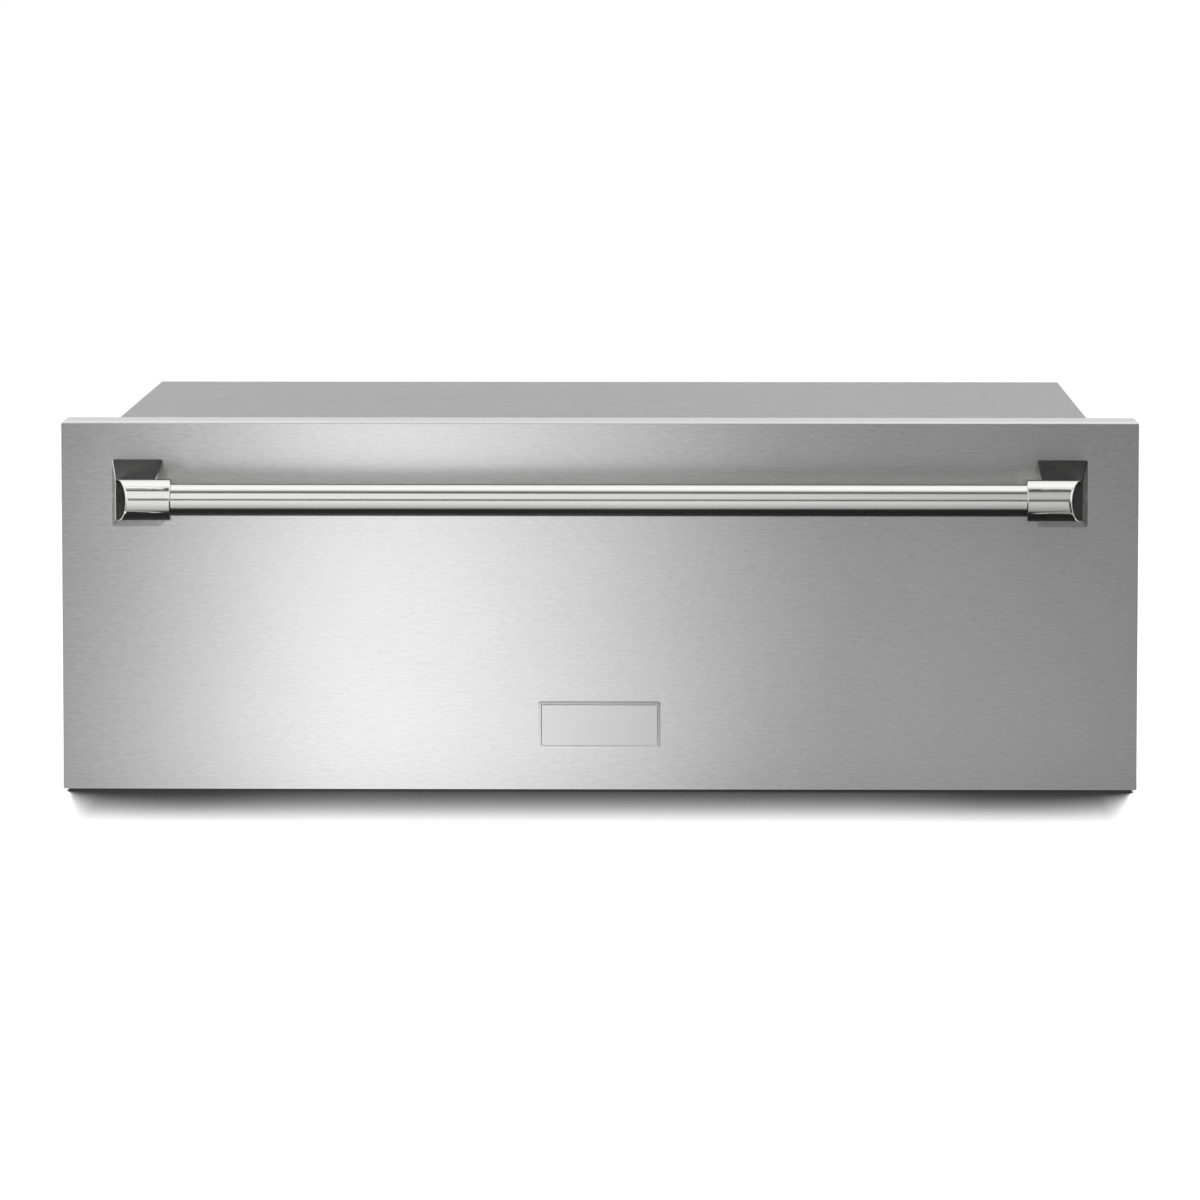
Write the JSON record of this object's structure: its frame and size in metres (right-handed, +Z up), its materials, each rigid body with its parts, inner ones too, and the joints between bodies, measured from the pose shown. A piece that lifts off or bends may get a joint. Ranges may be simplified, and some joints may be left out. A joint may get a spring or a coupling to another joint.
{
  "type": "warming drawer",
  "caption": "Built-in warming drawer with a steel slab front, bar handle, heated case and a deep pan on telescopic ball slides.",
  "frame": {"origin": "bottom centre of the bounding box of the closed drawer, handle and cord gland included, on the floor the feet stand on", "axes": "+X to the right seen from the front, +Y to the back, so the front faces -Y, +Z up"},
  "size_m": [0.76, 0.6596, 0.262],
  "materials": {
    "front_steel": "horizontal brushed stainless",
    "polished_steel": "polished stainless",
    "badge_metal": "satin with a bright border",
    "frame_steel": "brushed stainless",
    "liner_steel": "satin stainless sheet",
    "pan_steel": "satin drawn stainless",
    "rack_wire": "plated wire",
    "case_steel": "galvanised sheet",
    "zinc_steel": "zinc plated",
    "cage_steel": "yellow passivated",
    "ball_steel": "polished",
    "screw_steel": "zinc plated",
    "dark_steel": "black oxide",
    "insulation": "mineral fibre",
    "reflector": "bright aluminised sheet",
    "element_sheath": "oxidised alloy sheath",
    "ceramic": "unglazed",
    "terminal_cream": "moulded",
    "gasket": "silicone",
    "rubber": "matte",
    "overlay_black": "gloss",
    "button_grey": "satin",
    "lens_amber": "clear moulded",
    "board_green": "solder mask",
    "loom_black": "sleeved",
    "gland_black": "moulded"
  },
  "bodies": {
    "case": {"case_bottom": "case_steel", "case_side_left": "case_steel", "case_side_right": "case_steel", "case_top_cover": "case_steel", "case_back": "case_steel", "case_screws": "screw_steel", "rubber_feet": "rubber", "front_frame": "frame_steel", "front_gasket": "gasket", "control_fascia": "frame_steel", "control_overlay": "overlay_black", "indicator_lenses": "lens_amber", "control_board": "board_green", "control_box": "case_steel", "cavity_ceiling": "liner_steel", "cavity_rear_wall": "liner_steel", "top_insulation": "insulation", "base_insulation": "insulation", "reflector_tray": "reflector", "heating_element": "element_sheath", "element_clips": "zinc_steel", "element_bushes": "ceramic", "temperature_probe": "liner_steel", "thermal_cutout": "terminal_cream", "terminal_block": "terminal_cream", "wiring_loom": "loom_black", "cord_gland": "gland_black", "gland_nut": "gland_black", "slide_outer_left": "zinc_steel", "slide_outer_right": "zinc_steel"},
    "drawer": {"drawer_front_skin": "front_steel", "drawer_front_insulation": "insulation", "drawer_front_liner": "liner_steel", "badge_plate": "badge_metal", "handle_bar": "polished_steel", "handle_bracket_left": "polished_steel", "handle_bracket_right": "polished_steel", "handle_studs": "zinc_steel", "handle_set_screws": "dark_steel", "drawer_side_left": "zinc_steel", "drawer_side_right": "zinc_steel", "drawer_pan": "pan_steel", "wire_rack": "rack_wire", "drawer_screws": "screw_steel", "slide_inner_left": "zinc_steel", "slide_inner_right": "zinc_steel"},
    "left_middle": {"slide_middle_left": "zinc_steel"},
    "right_middle": {"slide_middle_right": "zinc_steel"},
    "left_outer_cage": {"slide_outer_cage_left": "cage_steel", "slide_outer_balls_left": "ball_steel"},
    "right_outer_cage": {"slide_outer_cage_right": "cage_steel", "slide_outer_balls_right": "ball_steel"},
    "left_inner_cage": {"slide_inner_cage_left": "cage_steel", "slide_inner_balls_left": "ball_steel"},
    "right_inner_cage": {"slide_inner_cage_right": "cage_steel", "slide_inner_balls_right": "ball_steel"},
    "power_button": {"button_power": "button_grey"},
    "low_button": {"button_low": "button_grey"},
    "medium_button": {"button_medium": "button_grey"},
    "high_button": {"button_high": "button_grey"}
  },
  "joints": [
    {"name": "drawer_slide", "type": "slide", "parent": "case", "child": "drawer", "axis": [0, -1, 0], "range_m": [0, 0.45]},
    {"name": "left_middle_slide", "type": "slide", "parent": "case", "child": "left_middle", "axis": [0, -1, 0], "range_m": [0, 0.225]},
    {"name": "right_middle_slide", "type": "slide", "parent": "case", "child": "right_middle", "axis": [0, -1, 0], "range_m": [0, 0.225]},
    {"name": "left_outer_cage_roll", "type": "slide", "parent": "case", "child": "left_outer_cage", "axis": [0, -1, 0], "range_m": [0, 0.1125]},
    {"name": "right_outer_cage_roll", "type": "slide", "parent": "case", "child": "right_outer_cage", "axis": [0, -1, 0], "range_m": [0, 0.1125]},
    {"name": "left_inner_cage_roll", "type": "slide", "parent": "case", "child": "left_inner_cage", "axis": [0, -1, 0], "range_m": [0, 0.3375]},
    {"name": "right_inner_cage_roll", "type": "slide", "parent": "case", "child": "right_inner_cage", "axis": [0, -1, 0], "range_m": [0, 0.3375]},
    {"name": "power_press", "type": "slide", "parent": "case", "child": "power_button", "axis": [0, 1, 0], "range_m": [0, 0.001], "stiffness_N_per_m": 1500},
    {"name": "low_press", "type": "slide", "parent": "case", "child": "low_button", "axis": [0, 1, 0], "range_m": [0, 0.001], "stiffness_N_per_m": 1500},
    {"name": "medium_press", "type": "slide", "parent": "case", "child": "medium_button", "axis": [0, 1, 0], "range_m": [0, 0.001], "stiffness_N_per_m": 1500},
    {"name": "high_press", "type": "slide", "parent": "case", "child": "high_button", "axis": [0, 1, 0], "range_m": [0, 0.001], "stiffness_N_per_m": 1500}
  ],
  "couplings": [
    {"joint": "left_middle_slide", "follows": "drawer_slide", "ratio": 0.5},
    {"joint": "right_middle_slide", "follows": "drawer_slide", "ratio": 0.5},
    {"joint": "left_outer_cage_roll", "follows": "drawer_slide", "ratio": 0.25},
    {"joint": "right_outer_cage_roll", "follows": "drawer_slide", "ratio": 0.25},
    {"joint": "left_inner_cage_roll", "follows": "drawer_slide", "ratio": 0.75},
    {"joint": "right_inner_cage_roll", "follows": "drawer_slide", "ratio": 0.75}
  ]
}
